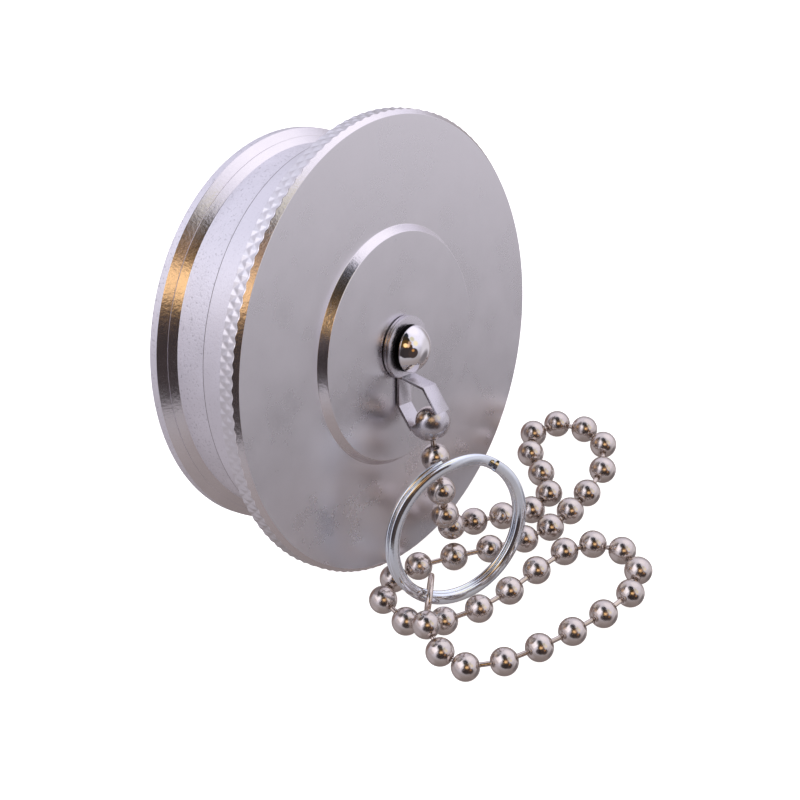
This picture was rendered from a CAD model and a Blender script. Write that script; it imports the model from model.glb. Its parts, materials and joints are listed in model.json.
import json
import math

import bmesh
import bpy
from mathutils import Matrix, Vector


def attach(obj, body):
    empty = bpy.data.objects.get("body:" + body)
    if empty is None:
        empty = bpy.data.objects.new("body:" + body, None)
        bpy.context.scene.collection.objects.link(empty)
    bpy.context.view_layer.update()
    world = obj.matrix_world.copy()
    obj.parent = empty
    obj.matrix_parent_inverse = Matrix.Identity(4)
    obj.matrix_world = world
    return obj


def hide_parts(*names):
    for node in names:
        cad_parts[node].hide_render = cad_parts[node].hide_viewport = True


# Deck fill cap with a ball-chain tether. Sizes are millimetres where a value is named, and every
# mesh is in metres in the frame of the CAD model.
MM = 0.001

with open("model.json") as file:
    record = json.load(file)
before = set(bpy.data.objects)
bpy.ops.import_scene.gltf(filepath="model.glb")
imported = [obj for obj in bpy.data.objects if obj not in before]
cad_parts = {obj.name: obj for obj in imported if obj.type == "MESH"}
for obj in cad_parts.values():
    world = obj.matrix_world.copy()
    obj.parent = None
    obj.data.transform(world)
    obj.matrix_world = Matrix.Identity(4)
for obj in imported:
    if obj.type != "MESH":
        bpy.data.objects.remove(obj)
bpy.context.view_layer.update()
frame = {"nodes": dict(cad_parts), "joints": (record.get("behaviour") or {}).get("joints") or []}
joints = {joint["name"]: joint for joint in frame["joints"]}


# ---------------------------------------------------------------------------------------------
# Camera
camera_place = (-158.2, -128.98, 217.3)
camera_azimuth = -53.22
camera_elevation = 44.18
camera_roll = -3.97
camera_lens = 73.74


def direction(azimuth, elevation):
    """Unit vector that a camera at this azimuth and elevation looks along."""
    turn = math.radians(azimuth)
    drop = math.radians(elevation)
    return Vector((-math.sin(turn) * math.cos(drop), math.cos(turn) * math.cos(drop), -math.sin(drop)))


def make_camera():
    """The camera at the viewing angle."""
    data = bpy.data.cameras.new("camera")
    data.lens = camera_lens
    data.sensor_width = 36
    forward = direction(camera_azimuth, camera_elevation)
    level = forward.cross(Vector((0, 0, 1))).normalized()
    upright = level.cross(forward)
    roll = math.radians(camera_roll)
    right = level * math.cos(roll) + upright * math.sin(roll)
    up = right.cross(forward)
    turned = Matrix((right, up, -forward)).transposed().to_4x4()
    camera = bpy.data.objects.new("camera", data)
    camera.matrix_world = Matrix.Translation(Vector(camera_place) * MM) @ turned
    bpy.context.scene.collection.objects.link(camera)
    bpy.context.scene.camera = camera
    return right, up, -forward


view_right, view_up, view_back = make_camera()


# ---------------------------------------------------------------------------------------------
# Frames of the pieces, read from the joints
def joint_axis(name):
    """Unit axis of a joint."""
    return Vector(joints[name]["axis"]).normalized()


def joint_place(name):
    """A joint's point, in metres."""
    return Vector(joints[name]["pos_m"])


def placed(origin, x_axis, z_axis):
    """Matrix of a frame with this origin, X along x_axis and Z along z_axis."""
    z_axis = z_axis.normalized()
    y_axis = z_axis.cross(x_axis).normalized()
    turned = Matrix((y_axis.cross(z_axis), y_axis, z_axis)).transposed().to_4x4()
    return Matrix.Translation(origin) @ turned


eye_height = 2.58
cap_axis = joint_axis("coupling_swivel")
cap_origin = joint_place("coupling_swivel") - cap_axis * eye_height * MM
cap_frame = placed(cap_origin, Vector((1, 0, 0)), cap_axis)


# ---------------------------------------------------------------------------------------------
# Mesh helpers
def new_piece(name, bm, matrix, materials, sharp=40):
    """Turns a bmesh in millimetres into an object at a frame, smooth shaded with sharp edges kept."""
    bmesh.ops.recalc_face_normals(bm, faces=bm.faces)
    mesh = bpy.data.meshes.new(name)
    bm.to_mesh(mesh)
    bm.free()
    mesh.transform(matrix @ Matrix.Scale(MM, 4))
    for face in mesh.polygons:
        face.use_smooth = True
    mesh.set_sharp_from_angle(angle=math.radians(sharp))
    for material in materials:
        mesh.materials.append(material)
    piece = bpy.data.objects.new(name, mesh)
    bpy.context.scene.collection.objects.link(piece)
    return piece


def bridge(bm, first, second, material=0):
    """Joins two closed rings of vertices with quads."""
    count = len(first)
    for i in range(count):
        j = (i + 1) % count
        face = bm.faces.new((first[i], first[j], second[j], second[i]))
        face.material_index = material


def rounded_profile(corners, closed=True, steps=4, support=0.04):
    """Points along a turned outline, from (radius, height, rounding, finish) corners.

    Each corner is rounded by a curve between its two tangent points, and each straight run gets
    a support point near both ends, so that smooth shading stays true on it.
    """
    points = []
    count = len(corners)
    for i, (radius, height, rounding, finish) in enumerate(corners):
        here = Vector((radius, height))
        before = Vector(corners[(i - 1) % count][:2])
        after = Vector(corners[(i + 1) % count][:2])
        finish_before = corners[(i - 1) % count][3]
        if not closed and i in (0, count - 1):
            points.append((here, finish))
            continue
        back = (before - here).normalized()
        ahead = (after - here).normalized()
        room = min((before - here).length, (after - here).length) * 0.45
        cut = min(max(rounding, 0.02), room)
        edge = min(support, room - cut)
        points.append((here + back * (cut + edge), finish_before))
        for k in range(steps + 1):
            t = k / steps
            start = here + back * cut
            end = here + ahead * cut
            spot = start * (1 - t) ** 2 + here * 2 * t * (1 - t) + end * t**2
            points.append((spot, finish_before if t < 0.5 else finish))
        points.append((here + ahead * (cut + edge), finish))
    return points


def lathe(name, corners, matrix, finishes, columns=160, closed=True, shape=None, split=None):
    """A turned piece. shape(radius, height, turn) gives the final radius, such as a knurl's."""
    bm = bmesh.new()
    names = list(finishes)
    rings = []
    outline = rounded_profile(corners, closed)
    if split:
        outline = split(outline)
    for spot, finish in outline:
        ring = []
        for i in range(columns):
            turn = 2 * math.pi * i / columns
            radius = shape(spot.x, spot.y, turn) if shape else spot.x
            ring.append(bm.verts.new((radius * math.cos(turn), radius * math.sin(turn), spot.y)))
        rings.append((ring, names.index(finish)))
    for i in range(len(rings) - (0 if closed else 1)):
        ring, material = rings[i]
        bridge(bm, ring, rings[(i + 1) % len(rings)][0], material)
    if not closed:
        bm.faces.new(rings[0][0])
        bm.faces.new(rings[-1][0])
    return new_piece(name, bm, matrix, [finishes[n] for n in names])


def crowned_section(width, height, fullness=2.3, steps=32):
    """An outline between an ellipse and a rectangle, as (across, up) points."""
    points = []
    for i in range(steps):
        turn = 2 * math.pi * i / steps
        across = math.copysign(abs(math.cos(turn)) ** (2 / fullness), math.cos(turn))
        up = math.copysign(abs(math.sin(turn)) ** (2 / fullness), math.sin(turn))
        points.append((across * width / 2, up * height / 2))
    return points


def round_section(radius, steps=14):
    """A circle's outline, as (across, up) points."""
    turns = [2 * math.pi * i / steps for i in range(steps)]
    return [(radius * math.cos(turn), radius * math.sin(turn)) for turn in turns]


def sweep(bm, stations, section, closed=False, material=0):
    """Carries a section along stations of (centre, across, up), with flat ends unless closed."""
    rings = []
    for centre, across, up in stations:
        rings.append([bm.verts.new(centre + across * a + up * b) for a, b in section])
    for first, second in zip(rings, rings[1:]):
        bridge(bm, first, second, material)
    if closed:
        bridge(bm, rings[-1], rings[0], material)
        return
    for ring in (rings[0], rings[-1]):
        bm.faces.new(ring).material_index = material


# ---------------------------------------------------------------------------------------------
# Materials
def node_tools(material):
    """Short helpers that add and join nodes in a material's tree."""
    tree = material.node_tree

    def add(kind, **inputs):
        node = tree.nodes.new(kind)
        for key, value in inputs.items():
            node.inputs[key.replace("_", " ")].default_value = value
        return node

    def join(source, target):
        tree.links.new(source, target)

    return add, join


def metal(name, colour, roughness, grain=0.0, grain_size=0.3, spread=0.04, tint=0.04, cloud_size=8.0,
          speckle=0.0, turning=0.0, turning_pitch=0.5):
    """A metal with cloudy colour and gloss, fine grain and, if asked, dark specks and turning marks.

    Sizes are in millimetres. Turning marks run round the cap's axis.
    """
    material = bpy.data.materials.new(name)
    material.use_nodes = True
    add, join = node_tools(material)
    shader = material.node_tree.nodes["Principled BSDF"]
    shader.inputs["Metallic"].default_value = 1.0
    place = add("ShaderNodeTexCoord").outputs["Object"]

    cloud = add("ShaderNodeTexNoise", Scale=1 / (cloud_size * MM), Detail=5.0, Roughness=0.6)
    fine = add("ShaderNodeTexNoise", Scale=1 / (grain_size * MM), Detail=2.0, Roughness=0.6)
    join(place, cloud.inputs["Vector"])
    join(place, fine.inputs["Vector"])

    shade = add("ShaderNodeMapRange")
    shade.inputs["From Min"].default_value = 0.3
    shade.inputs["From Max"].default_value = 0.7
    shade.inputs["To Min"].default_value = 1 - tint
    shade.inputs["To Max"].default_value = 1 + tint
    join(cloud.outputs["Fac"], shade.inputs["Value"])
    paint = add("ShaderNodeVectorMath")
    paint.operation = "SCALE"
    paint.inputs[0].default_value = colour
    join(shade.outputs["Result"], paint.inputs["Scale"])
    finish = paint.outputs["Vector"]
    if speckle:
        dots = add("ShaderNodeMapRange")
        dots.inputs["From Min"].default_value = 0.28
        dots.inputs["From Max"].default_value = 0.42
        dots.inputs["To Min"].default_value = 1 - speckle
        dots.inputs["To Max"].default_value = 1.0
        join(fine.outputs["Fac"], dots.inputs["Value"])
        worn = add("ShaderNodeVectorMath")
        worn.operation = "SCALE"
        join(finish, worn.inputs[0])
        join(dots.outputs["Result"], worn.inputs["Scale"])
        finish = worn.outputs["Vector"]
    join(finish, shader.inputs["Base Color"])

    rough = add("ShaderNodeMapRange")
    rough.inputs["From Min"].default_value = 0.3
    rough.inputs["From Max"].default_value = 0.7
    rough.inputs["To Min"].default_value = max(roughness - spread, 0.02)
    rough.inputs["To Max"].default_value = roughness + spread
    join(cloud.outputs["Fac"], rough.inputs["Value"])
    join(rough.outputs["Result"], shader.inputs["Roughness"])

    height = fine.outputs["Fac"]
    if turning:
        local = add("ShaderNodeMapping")
        local.vector_type = "TEXTURE"
        local.inputs["Location"].default_value = cap_origin
        local.inputs["Rotation"].default_value = cap_frame.to_euler()
        join(place, local.inputs["Vector"])
        rings = add("ShaderNodeTexWave", Scale=1 / (turning_pitch * MM) / 20, Distortion=0.4)
        rings.wave_type = "RINGS"
        rings.rings_direction = "Z"
        join(local.outputs["Vector"], rings.inputs["Vector"])
        weight = add("ShaderNodeMath")
        weight.operation = "MULTIPLY_ADD"
        weight.inputs[1].default_value = turning
        join(rings.outputs["Fac"], weight.inputs[0])
        join(height, weight.inputs[2])
        height = weight.outputs["Value"]
    bump = add("ShaderNodeBump", Strength=grain, Distance=0.06 * MM)
    join(height, bump.inputs["Height"])
    join(bump.outputs["Normal"], shader.inputs["Normal"])
    return material


def rubber(name):
    """Dull black rubber with a faint bloom."""
    material = bpy.data.materials.new(name)
    material.use_nodes = True
    add, join = node_tools(material)
    shader = material.node_tree.nodes["Principled BSDF"]
    shader.inputs["Roughness"].default_value = 0.62
    place = add("ShaderNodeTexCoord").outputs["Object"]
    bloom = add("ShaderNodeTexNoise", Scale=400.0, Detail=6.0)
    join(place, bloom.inputs["Vector"])
    ramp = add("ShaderNodeValToRGB")
    ramp.color_ramp.elements[0].color = (0.012, 0.012, 0.013, 1)
    ramp.color_ramp.elements[1].color = (0.05, 0.05, 0.052, 1)
    join(bloom.outputs["Fac"], ramp.inputs["Fac"])
    join(ramp.outputs["Color"], shader.inputs["Base Color"])
    bump = add("ShaderNodeBump", Strength=0.3, Distance=0.0001)
    join(bloom.outputs["Fac"], bump.inputs["Height"])
    join(bump.outputs["Normal"], shader.inputs["Normal"])
    return material


face_metal = metal("face_satin", (0.81, 0.795, 0.83), 0.29, grain=0.06, tint=0.025,
                   speckle=0.03, turning=0.3)
polished_metal = metal("turned_bright", (0.82, 0.79, 0.82), 0.20, grain=0.35, grain_size=0.5,
                       tint=0.05, turning=0.4)
knurl_metal = metal("knurl_bright", (0.74, 0.73, 0.77), 0.34, grain=0.25, tint=0.05, cloud_size=2.0)
matt_metal = metal("spigot_satin", (0.80, 0.79, 0.85), 0.42, grain=0.5, grain_size=0.35,
                   speckle=0.12)
rough_metal = metal("groove_matt", (0.82, 0.81, 0.87), 0.48, grain=0.9, grain_size=0.40,
                    speckle=0.3, tint=0.06)
line_metal = metal("dark_line", (0.20, 0.18, 0.19), 0.4, grain=0.3, tint=0.1)
shadow_metal = metal("dark_gap", (0.03, 0.028, 0.03), 0.5, grain=0.3, tint=0.1)
rear_metal = metal("rear_turned", (0.76, 0.74, 0.77), 0.30, grain=0.3, turning=1.0)
rivet_metal = metal("rivet_polish", (0.84, 0.82, 0.84), 0.05, grain=0.02, spread=0.02)
strap_metal = metal("strap_satin", (0.61, 0.59, 0.63), 0.27, grain=0.25, tint=0.07, cloud_size=3.0)
bead_metal = metal("bead_polish", (0.66, 0.60, 0.57), 0.20, grain=0.05, spread=0.05, tint=0.09,
                   cloud_size=3.0)
link_metal = metal("link_wire", (0.68, 0.60, 0.55), 0.24, grain=0.2, tint=0.2, cloud_size=4.0)
ring_metal = metal("ring_plating", (0.86, 0.92, 1.0), 0.11, grain=0.10, spread=0.04, tint=0.06,
                   cloud_size=4.0)
seal_rubber = rubber("seal_rubber")


# ---------------------------------------------------------------------------------------------
# The chain comes first: it is a cord along the same route as the CAD model's
ground = 2.40
chain_route = [
    (-6.9, -22.2, 24.4),
    (-8.3, -24.2, 17.6),
    (-7.4, -24.0, 10.2),
    (-4.3, -23.2, 4.4),
    (0.2, -24.2, ground),
    (4.6, -28.6, ground),
    (9.4, -33.2, ground),
    (14.7, -32.1, ground),
    (17.6, -26.6, ground),
    (22.4, -22.0, ground),
    (28.0, -23.2, ground),
    (30.6, -28.8, ground),
    (28.8, -35.4, ground),
    (22.2, -38.2, ground),
    (14.0, -38.0, ground),
    (5.4, -36.9, ground),
    (-2.8, -31.0, ground),
    (-10.2, -23.9, ground),
    (-16.6, -19.5, ground),
    (-22.1, -20.1, ground),
    (-24.8, -24.6, ground),
    (-22.8, -30.2, ground),
    (-17.6, -34.6, ground),
    (-11.0, -37.6, ground),
    (-3.4, -39.4, ground),
    (4.2, -41.6, ground),
    (8.4, -46.8, ground),
    (7.6, -53.2, ground),
    (1.6, -56.0, ground),
    (-7.4, -53.0, ground),
    (-17.2, -48.2, ground),
    (-25.2, -43.0, ground),
    (-28.4, -36.4, ground),
    (-24.6, -31.3, 5.2),
]
bead_radius = 2.38
bead_hole = 0.56
link_radius = 0.45
link_inset = 0.66
taut_gap = 6.4
slack_gap = 5.25
closed_gap = 5.02
gap_runs = [
    (5, taut_gap),
    (9, slack_gap),
    (2, taut_gap),
    (3, slack_gap),
    (3, taut_gap),
    (2, closed_gap),
    (6, taut_gap),
    (4, slack_gap),
    (5, taut_gap),
    (2, closed_gap),
]


def chain_line():
    """Points along the chain's middle line, from a NURBS spline through the route."""
    curve = bpy.data.curves.new("chain_line", "CURVE")
    curve.dimensions = "3D"
    curve.resolution_u = 16
    spline = curve.splines.new("NURBS")
    points = [joint_place("chain_swing")] + [Vector(point) * MM for point in chain_route]
    spline.points.add(len(points) - 1)
    for point, place in zip(spline.points, points):
        point.co = (*place, 1)
    spline.order_u = 3
    spline.use_endpoint_u = True
    guide = bpy.data.objects.new("chain_line", curve)
    mesh = bpy.data.meshes.new_from_object(guide)
    line = [vertex.co.copy() for vertex in mesh.vertices]
    bpy.data.objects.remove(guide)
    return line


def along(line, distances):
    """Points at these distances along a line."""
    found = []
    done = 0.0
    runs = list(zip(line, line[1:]))
    at = 0
    for distance in distances:
        while at < len(runs) - 1 and done + (runs[at][1] - runs[at][0]).length < distance:
            done += (runs[at][1] - runs[at][0]).length
            at += 1
        start, end = runs[at]
        share = min(max((distance - done) / (end - start).length, 0), 1)
        found.append(start.lerp(end, share))
    return found


def line_length(line):
    """Length of a line of points."""
    return sum((b - a).length for a, b in zip(line, line[1:]))


def ball_points():
    """A unit sphere's vertices and faces, shared by every bead."""
    bm = bmesh.new()
    bmesh.ops.create_icosphere(bm, subdivisions=5, radius=1)
    points = [vertex.co.copy() for vertex in bm.verts]
    faces = [[vertex.index for vertex in face.verts] for face in bm.faces]
    bm.free()
    return points, faces


ball = ball_points()


# A bead's hole: where its rolled edge starts, how deep that dips, how deep the hole is cut, and
# how close in radians a vertex is to the edge when it is snapped onto it.
lip_share = 1.45
lip_dip = 0.06
hole_floor = 0.62
edge_snap = 0.02


def add_bead(bm, centre, holes):
    """A bead with a rolled-in hole towards each of the given directions."""
    points, faces = ball
    hole_angle = math.asin(bead_hole / bead_radius)
    lip = hole_angle * lip_share
    made = []
    for point in points:
        spot = point.copy()
        reach = bead_radius
        for hole in holes:
            angle = spot.angle(hole)
            if angle < lip:
                if abs(angle - hole_angle) < edge_snap:
                    spot = (spot - hole * spot.dot(hole)).normalized() * math.sin(hole_angle)
                    spot += hole * math.cos(hole_angle)
                    angle = hole_angle
                share = min(max((lip - angle) / (lip - hole_angle), 0), 1)
                reach -= lip_dip * share * share * bead_radius
                if angle < hole_angle - edge_snap / 2:
                    reach = bead_radius * hole_floor
        made.append(bm.verts.new(centre + spot * reach))
    for face in faces:
        bm.faces.new([made[i] for i in face])


wire_waist = 0.94
wire_rings = 6


def add_wire(bm, start, end, radius, material=0):
    """A short wire, a little thinner in its middle."""
    run = end - start
    length = run.length
    run.normalize()
    across = run.orthogonal().normalized()
    up = run.cross(across)
    stations = []
    for i in range(wire_rings + 1):
        t = i / wire_rings
        size = 1 - (1 - wire_waist) * math.sin(math.pi * t)
        stations.append((start + run * length * t, across * size, up * size))
    sweep(bm, stations, round_section(radius), material=material)


chain_path = chain_line()
chain_length = line_length(chain_path)
gaps = [gap for count, gap in gap_runs for _ in range(count)]
gap_scale = chain_length / sum(gaps)
bead_places = along(chain_path, [sum(gaps[:i]) * gap_scale for i in range(len(gaps) + 1)])
end_hole = (joint_place("loop_swing") - bead_places[-1]).normalized()


def make_chain():
    """Every bead and link of the chain, as one cord."""
    centres = [place / MM for place in bead_places]
    bm = bmesh.new()
    for i, centre in enumerate(centres):
        holes = []
        if i > 0:
            holes.append((centres[i - 1] - centre).normalized())
        if i < len(centres) - 1:
            holes.append((centres[i + 1] - centre).normalized())
        add_bead(bm, centre, holes)
        if i == len(centres) - 1:
            continue
        run = (centres[i + 1] - centre).normalized()
        inside = bead_radius * link_inset
        add_wire(bm, centre + run * inside, centres[i + 1] - run * inside, link_radius, material=1)
    return new_piece("ball_chain", bm, Matrix.Identity(4), [bead_metal, link_metal], sharp=60)


chain = make_chain()
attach(chain, "tether")
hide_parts("captive_bead", "chain_beads", "chain_links", "end_bead")


# ---------------------------------------------------------------------------------------------
# Wire eye on the last bead
eye_side = Vector((0.473, -0.869, -0.145))
eye_wire = 0.5
eye_start = 3.4
eye_end = 11.55
eye_half_width = 2.35
eye_squareness = 0.72
eye_steps = 96
shank_start = 1.3
shank_overlap = 0.7


def make_eye():
    """A wire bent into a long drop, with both ends in the last bead."""
    eye_frame = placed(bead_places[-1], end_hole, eye_side)
    bm = bmesh.new()
    middle = (eye_start + eye_end) / 2
    half = (eye_end - eye_start) / 2 - eye_wire
    spots = []
    for i in range(eye_steps):
        turn = 2 * math.pi * i / eye_steps
        x = middle + half * math.cos(turn)
        y = eye_half_width * math.copysign(abs(math.sin(turn)) ** eye_squareness, math.sin(turn))
        spots.append(Vector((x, y, 0)))
    stations = []
    for i, spot in enumerate(spots):
        run = (spots[(i + 1) % eye_steps] - spots[i - 1]).normalized()
        stations.append((spot, Vector((0, 0, 1)).cross(run), Vector((0, 0, 1))))
    sweep(bm, stations, round_section(eye_wire, steps=16), closed=True)
    shank_end = eye_start + shank_overlap
    add_wire(bm, Vector((shank_start, 0, 0)), Vector((shank_end, 0, 0)), eye_wire)
    return new_piece("wire_eye", bm, eye_frame, [link_metal], sharp=60)


eye = make_eye()
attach(eye, "end_loop")
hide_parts("end_loop")


# ---------------------------------------------------------------------------------------------
# Split ring
ring_radius = 12.35
ring_band = 2.0
ring_strip = 1.0
ring_pitch = 1.08
ring_ramp_turn = 44
ring_cut_gap = 1.6
ring_start_turn = -1
ring_step_turn = 1.5


def make_ring():
    """A flat strip wound almost twice round, with a ramp from one layer to the other."""
    frame_ring = placed(joint_place("ring_spin"), Vector((0, 0, 1)), joint_axis("ring_spin"))
    bm = bmesh.new()
    flat = 360 - ring_ramp_turn - ring_cut_gap
    total = 2 * flat + ring_ramp_turn
    steps = int(total / ring_step_turn)
    stations = []
    for i in range(steps + 1):
        turn = total * i / steps
        share = min(max((turn - flat) / ring_ramp_turn, 0), 1)
        rise = share * share * (3 - 2 * share)
        angle = math.radians(ring_start_turn + turn)
        outward = Vector((math.cos(angle), math.sin(angle), 0))
        height = ring_pitch * (rise - 0.5)
        stations.append((outward * ring_radius + Vector((0, 0, height)), outward, Vector((0, 0, 1))))
    sweep(bm, stations, crowned_section(ring_band, ring_strip))
    return new_piece("key_ring", bm, frame_ring, [ring_metal], sharp=50)


ring = make_ring()
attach(ring, "split_ring")
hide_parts("split_ring")


# ---------------------------------------------------------------------------------------------
# Cap: one turned piece with a knurled flange
flange_radius = 38.1
flange_depth = 2.35
knurl_count = 120
knurl_depth = 0.17
knurl_angle = 40
knurl_steps = 12
knurl_back = -3.1
chamfer_row = 0.04
knurl_row = 0.14
cap_profile = [
    (1.65, 2.15, 0.05, "face"),
    (18.9, 2.15, 0.08, "bright"),
    (19.8, 0.8, 0.06, "face"),
    (37.3, 0.8, 0.04, "bright"),
    (flange_radius, 0, 0.02, "knurl"),
    (flange_radius, -flange_depth, 0.02, "knurl"),
    (36.6, -3.1, 0.1, "matt"),
    (32.8, -3.1, 0.15, "matt"),
    (32.8, -10.74, 0.02, "line"),
    (32.79, -10.86, 0.02, "line"),
    (32.6, -11.05, 0.02, "rough"),
    (31.1, -11.05, 0.2, "rough"),
    (31.1, -17.9, 0.06, "bright"),
    (32.12, -18.98, 0.0, "bright"),
    (32.2, -19.0, 0.0, "bright"),
    (33.4, -20.2, 0.05, "rough"),
    (33.4, -21.7, 0.2, "rear"),
    (27.8, -21.7, 0.1, "rear"),
    (27.4, -21.3, 0.1, "rear"),
    (27.4, -5.0, 0.8, "rear"),
    (25.4, -3.0, 0.8, "rear"),
    (1.65, -3.0, 0.05, "rear"),
]


def triangle(value):
    """A wave that is 0 at a whole number and 1 half way between."""
    return 1 - abs(2 * (value % 1.0) - 1)


def knurled(radius, height, turn):
    """Radius of the flange with diamond knurling cut into it."""
    if radius < flange_radius - knurl_depth or height < knurl_back:
        return radius
    pitch = 2 * math.pi * flange_radius / knurl_count
    rise = (height + flange_depth / 2) * math.tan(math.radians(knurl_angle)) / pitch
    place = turn / (2 * math.pi) * knurl_count
    cut = max(triangle(place + rise), triangle(place - rise))
    return min(radius, flange_radius - knurl_depth * cut)


def split_knurl(outline):
    """Adds rows across the knurled band, fine enough for its diamonds."""
    rows = []
    for (spot, finish), (after, _) in zip(outline, outline[1:] + outline[:1]):
        rows.append((spot, finish))
        if max(spot.x, after.x) < flange_radius - knurl_depth or spot.y < knurl_back - 0.1:
            continue
        row = chamfer_row if spot.y > 0.01 else knurl_row
        count = int((after - spot).length / row)
        rows += [(spot.lerp(after, (k + 1) / (count + 1)), finish) for k in range(count)]
    return rows


cap_finishes = {
    "face": face_metal,
    "bright": polished_metal,
    "knurl": knurl_metal,
    "matt": matt_metal,
    "rough": rough_metal,
    "line": line_metal,
    "rear": rear_metal,
}
cap = lathe("turned_cap", cap_profile, cap_frame, cap_finishes, columns=knurl_count * knurl_steps,
            shape=knurled, split=split_knurl)
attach(cap, "cap")
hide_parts("cap_body")


# ---------------------------------------------------------------------------------------------
# Seal, washer and rivet
seal_profile = [
    (32.85, -3.14, 0.1, "rubber"),
    (34.8, -3.14, 0.25, "rubber"),
    (34.8, -4.32, 0.25, "rubber"),
    (32.85, -4.32, 0.1, "rubber"),
]
seal = lathe("rubber_seal", seal_profile, cap_frame, {"rubber": seal_rubber}, columns=192)
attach(seal, "cap")
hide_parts("flange_seal")

washer_profile = [
    (1.7, -3.02, 0.05, "strap"),
    (4.5, -3.02, 0.1, "strap"),
    (4.5, -3.78, 0.15, "strap"),
    (1.7, -3.78, 0.1, "strap"),
]
washer = lathe("back_washer", washer_profile, cap_frame, {"strap": strap_metal}, columns=96)
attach(washer, "cap")
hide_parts("rivet_washer")

dome_radius = 4.02
dome_height = 2.6
dome_base = 4.3
dome_edge = 0.28
shank_radius = 1.6
liner_radius = 3.9
liner_height = 3.36
liner_thickness = 0.06
dome_rows = 28


def rivet_corners():
    """The rivet's outline: domed head, shank and clenched tail."""
    sphere = (dome_radius**2 + dome_height**2) / (2 * dome_height)
    middle = dome_base + dome_height - sphere
    start = math.asin((dome_base + dome_edge - middle) / sphere)
    dome = []
    for i in range(dome_rows + 1):
        turn = math.pi / 2 + (start - math.pi / 2) * i / dome_rows
        radius = max(sphere * math.cos(turn), 0.02)
        dome.append((radius, middle + sphere * math.sin(turn), 0.0, "rivet"))
    rest = [
        (dome_radius - 0.1, dome_base, 0.12, "line"),
        (shank_radius, dome_base, 0.1, "line"),
        (shank_radius, liner_height + liner_thickness, 0.02, "line"),
        (liner_radius, liner_height + liner_thickness, 0.03, "line"),
        (liner_radius, liner_height, 0.02, "line"),
        (shank_radius, liner_height, 0.02, "rivet"),
        (shank_radius, -3.8, 0.05, "rivet"),
        (2.85, -3.85, 0.2, "rivet"),
        (2.2, -5.08, 0.3, "rivet"),
        (0.02, -5.08, 0.0, "rivet"),
    ]
    return dome + rest


rivet_finishes = {"rivet": rivet_metal, "line": shadow_metal}
rivet = lathe("domed_rivet", rivet_corners(), cap_frame, rivet_finishes, columns=128, closed=False)
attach(rivet, "cap")
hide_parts("chain_rivet")


# ---------------------------------------------------------------------------------------------
# Coupling: the folded strap, softened like a stamped and tumbled part
stamped_angle = 32
stamped_radius = 0.06


def make_strap():
    """The strap's solid with its stamped edges worn round."""
    bm = bmesh.new()
    bm.from_mesh(frame["nodes"]["chain_coupling"].data)
    bmesh.ops.remove_doubles(bm, verts=bm.verts, dist=0.002 * MM)
    bmesh.ops.dissolve_limit(bm, angle_limit=math.radians(0.5), verts=bm.verts, edges=bm.edges)
    limit = math.radians(stamped_angle)
    sharp = [edge for edge in bm.edges if edge.is_manifold and edge.calc_face_angle() > limit]
    bmesh.ops.bevel(bm, geom=sharp, offset=stamped_radius * MM, segments=2, profile=0.5,
                    affect="EDGES", clamp_overlap=True)
    bmesh.ops.scale(bm, vec=(1 / MM,) * 3, verts=bm.verts)
    return new_piece("folded_strap", bm, Matrix.Identity(4), [strap_metal], sharp=28)


strap = make_strap()
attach(strap, "coupling")
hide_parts("chain_coupling")


# ---------------------------------------------------------------------------------------------
# Stage: pale floor, soft studio light
def make_floor():
    """A pale floor, seen as plain white and left out of the reflections, which show the room."""
    bm = bmesh.new()
    bmesh.ops.create_grid(bm, x_segments=8, y_segments=8, size=1500)
    material = bpy.data.materials.new("floor_pale")
    material.use_nodes = True
    add, join = node_tools(material)
    material.node_tree.nodes.clear()
    white = add("ShaderNodeEmission", Color=(1, 1, 1, 1), Strength=0.9)
    paper = add("ShaderNodeBsdfDiffuse", Color=(0.9, 0.9, 0.9, 1))
    both = add("ShaderNodeAddShader")
    join(white.outputs["Emission"], both.inputs[0])
    join(paper.outputs["BSDF"], both.inputs[1])
    output = add("ShaderNodeOutputMaterial")
    join(both.outputs["Shader"], output.inputs["Surface"])
    floor = new_piece("floor", bm, Matrix.Identity(4), [material])
    floor.visible_glossy = False
    floor.visible_diffuse = False


def mirror_direction(right, up):
    """Where a ball shows its surroundings at this place on its disc, from -1 to 1 each way."""
    normal = view_right * right + view_up * up
    normal += view_back * math.sqrt(max(1 - right * right - up * up, 0))
    return (normal * 2 * normal.dot(view_back) - view_back).normalized()


# Light by height in the room: sine of the elevation and the colour there.
room_heights = [
    (-1.0, (0.29, 0.25, 0.245)),
    (-0.45, (0.39, 0.345, 0.345)),
    (-0.10, (0.50, 0.475, 0.51)),
    (0.15, (0.70, 0.68, 0.77)),
    (0.45, (0.95, 0.93, 1.06)),
    (1.0, (0.85, 0.84, 0.96)),
]
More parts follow.
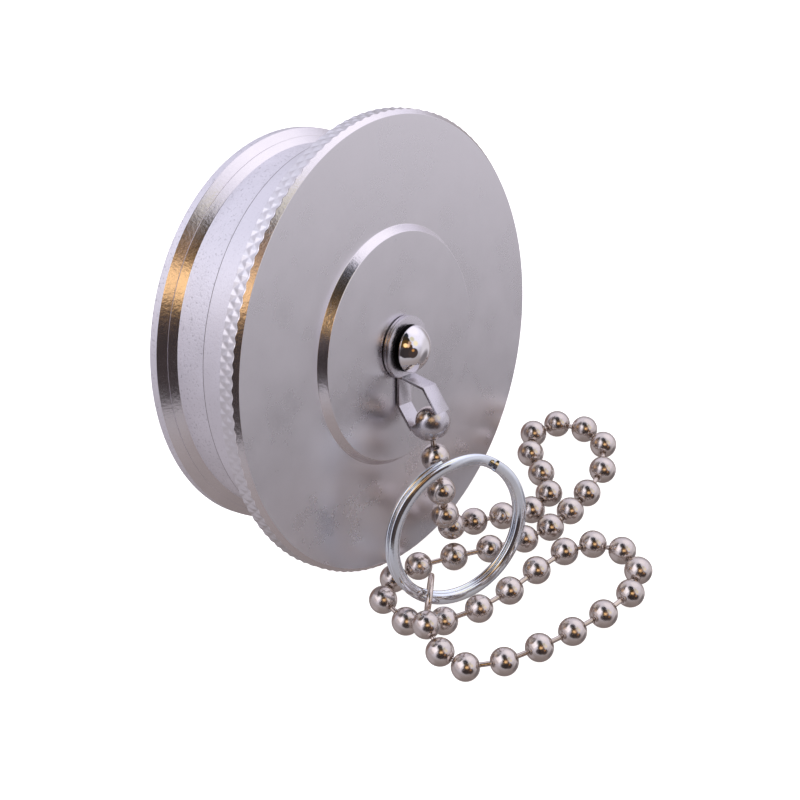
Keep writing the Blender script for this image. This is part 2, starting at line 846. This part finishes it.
# Soft patches over the room: place on the ball's disc, full and fading half angle, colour.
room_patches = [
    ((0.50, 0.45), 24, 46, (1.02, 0.99, 1.12)),
    ((0.28, 0.62), 14, 30, (1.18, 1.14, 1.24)),
    ((0.81, -0.08), 16, 38, (0.76, 0.73, 0.78)),
    ((0.73, -0.40), 11, 27, (0.22, 0.20, 0.21)),
    ((-0.80, 0.42), 12, 28, (0.30, 0.21, 0.20)),
    ((-0.66, -0.42), 16, 40, (0.52, 0.48, 0.51)),
    ((-0.52, 0.10), 18, 25, (0.70, 0.64, 0.68)),
    ((-0.04, 0.38), 19, 23, (0.025, 0.03, 0.04)),
    ((0.03, 0.20), 18, 23, (0.04, 0.03, 0.02)),
    ((0.05, 0.03), 21, 26, (0.10, 0.055, 0.018)),
    ((0.18, -0.03), 14, 18, (0.08, 0.04, 0.016)),
    ((-0.10, -0.20), 18, 22, (0.075, 0.062, 0.068)),
    ((0.04, -0.25), 19, 23, (0.040, 0.032, 0.034)),
    ((0.18, -0.24), 19, 23, (0.046, 0.036, 0.037)),
    ((0.34, -0.24), 18, 23, (0.065, 0.046, 0.042)),
    ((0.33, -0.14), 3, 7, (0.7, 0.33, 0.10)),
    ((0.21, 0.13), 4, 10, (0.52, 0.34, 0.24)),
    ((0.29, 0.28), 5, 12, (0.74, 0.70, 0.50)),
    ((0.42, 0.12), 7, 13, (1.10, 0.98, 0.70)),
    ((0.14, 0.03), 5, 10, (0.98, 0.62, 0.36)),
    ((0.05, 0.04), 5, 11, (1.6, 1.02, 0.48)),
]


def make_world():
    """A grey studio room: bright above, dim below, and dark with warm lamps where the viewer is."""
    world = bpy.data.worlds.new("studio")
    bpy.context.scene.world = world
    world.use_nodes = True
    add, join = node_tools(world)
    world.node_tree.nodes.clear()
    heading = add("ShaderNodeTexCoord").outputs["Generated"]
    parts = add("ShaderNodeSeparateXYZ")
    join(heading, parts.inputs["Vector"])
    level = add("ShaderNodeMapRange")
    level.inputs["From Min"].default_value = -1
    join(parts.outputs["Z"], level.inputs["Value"])
    ramp = add("ShaderNodeValToRGB")
    stops = ramp.color_ramp.elements
    for i, (height, colour) in enumerate(room_heights):
        stop = stops[i] if i < len(stops) else stops.new((height + 1) / 2)
        stop.position = (height + 1) / 2
        stop.color = (*colour, 1)
    join(level.outputs["Result"], ramp.inputs["Fac"])
    light = ramp.outputs["Color"]
    for place, full, fading, colour in room_patches:
        dot = add("ShaderNodeVectorMath")
        dot.operation = "DOT_PRODUCT"
        join(heading, dot.inputs[0])
        dot.inputs[1].default_value = mirror_direction(*place)
        near = add("ShaderNodeMapRange")
        near.interpolation_type = "SMOOTHSTEP"
        near.inputs["From Min"].default_value = math.cos(math.radians(fading))
        near.inputs["From Max"].default_value = math.cos(math.radians(full))
        join(dot.outputs["Value"], near.inputs["Value"])
        mix = add("ShaderNodeMix")
        mix.data_type = "RGBA"
        join(near.outputs["Result"], mix.inputs["Factor"])
        join(light, mix.inputs[6])
        mix.inputs[7].default_value = (*colour, 1)
        light = mix.outputs[2]
    path = add("ShaderNodeLightPath")
    around = add("ShaderNodeBackground", Strength=1.0)
    join(light, around.inputs["Color"])
    backdrop = add("ShaderNodeBackground", Color=(1, 1, 1, 1), Strength=1.0)
    both = add("ShaderNodeMixShader")
    join(path.outputs["Is Camera Ray"], both.inputs["Fac"])
    join(around.outputs["Background"], both.inputs[1])
    join(backdrop.outputs["Background"], both.inputs[2])
    output = add("ShaderNodeOutputWorld")
    join(both.outputs["Shader"], output.inputs["Surface"])


def make_lights():
    """A large, gentle soft box high behind the left of the object."""
    data = bpy.data.lights.new("soft_box", "AREA")
    data.shape = "RECTANGLE"
    data.size = 0.8
    data.size_y = 0.8
    data.energy = 1.5
    data.color = (0.96, 0.96, 1.0)
    light = bpy.data.objects.new("soft_box", data)
    light.location = Vector((-0.45, 0.35, 0.75))
    light.rotation_mode = "QUATERNION"
    light.rotation_quaternion = light.location.to_track_quat("Z", "Y")
    bpy.context.scene.collection.objects.link(light)


make_floor()
make_world()
make_lights()
bpy.context.scene.view_settings.view_transform = "Standard"
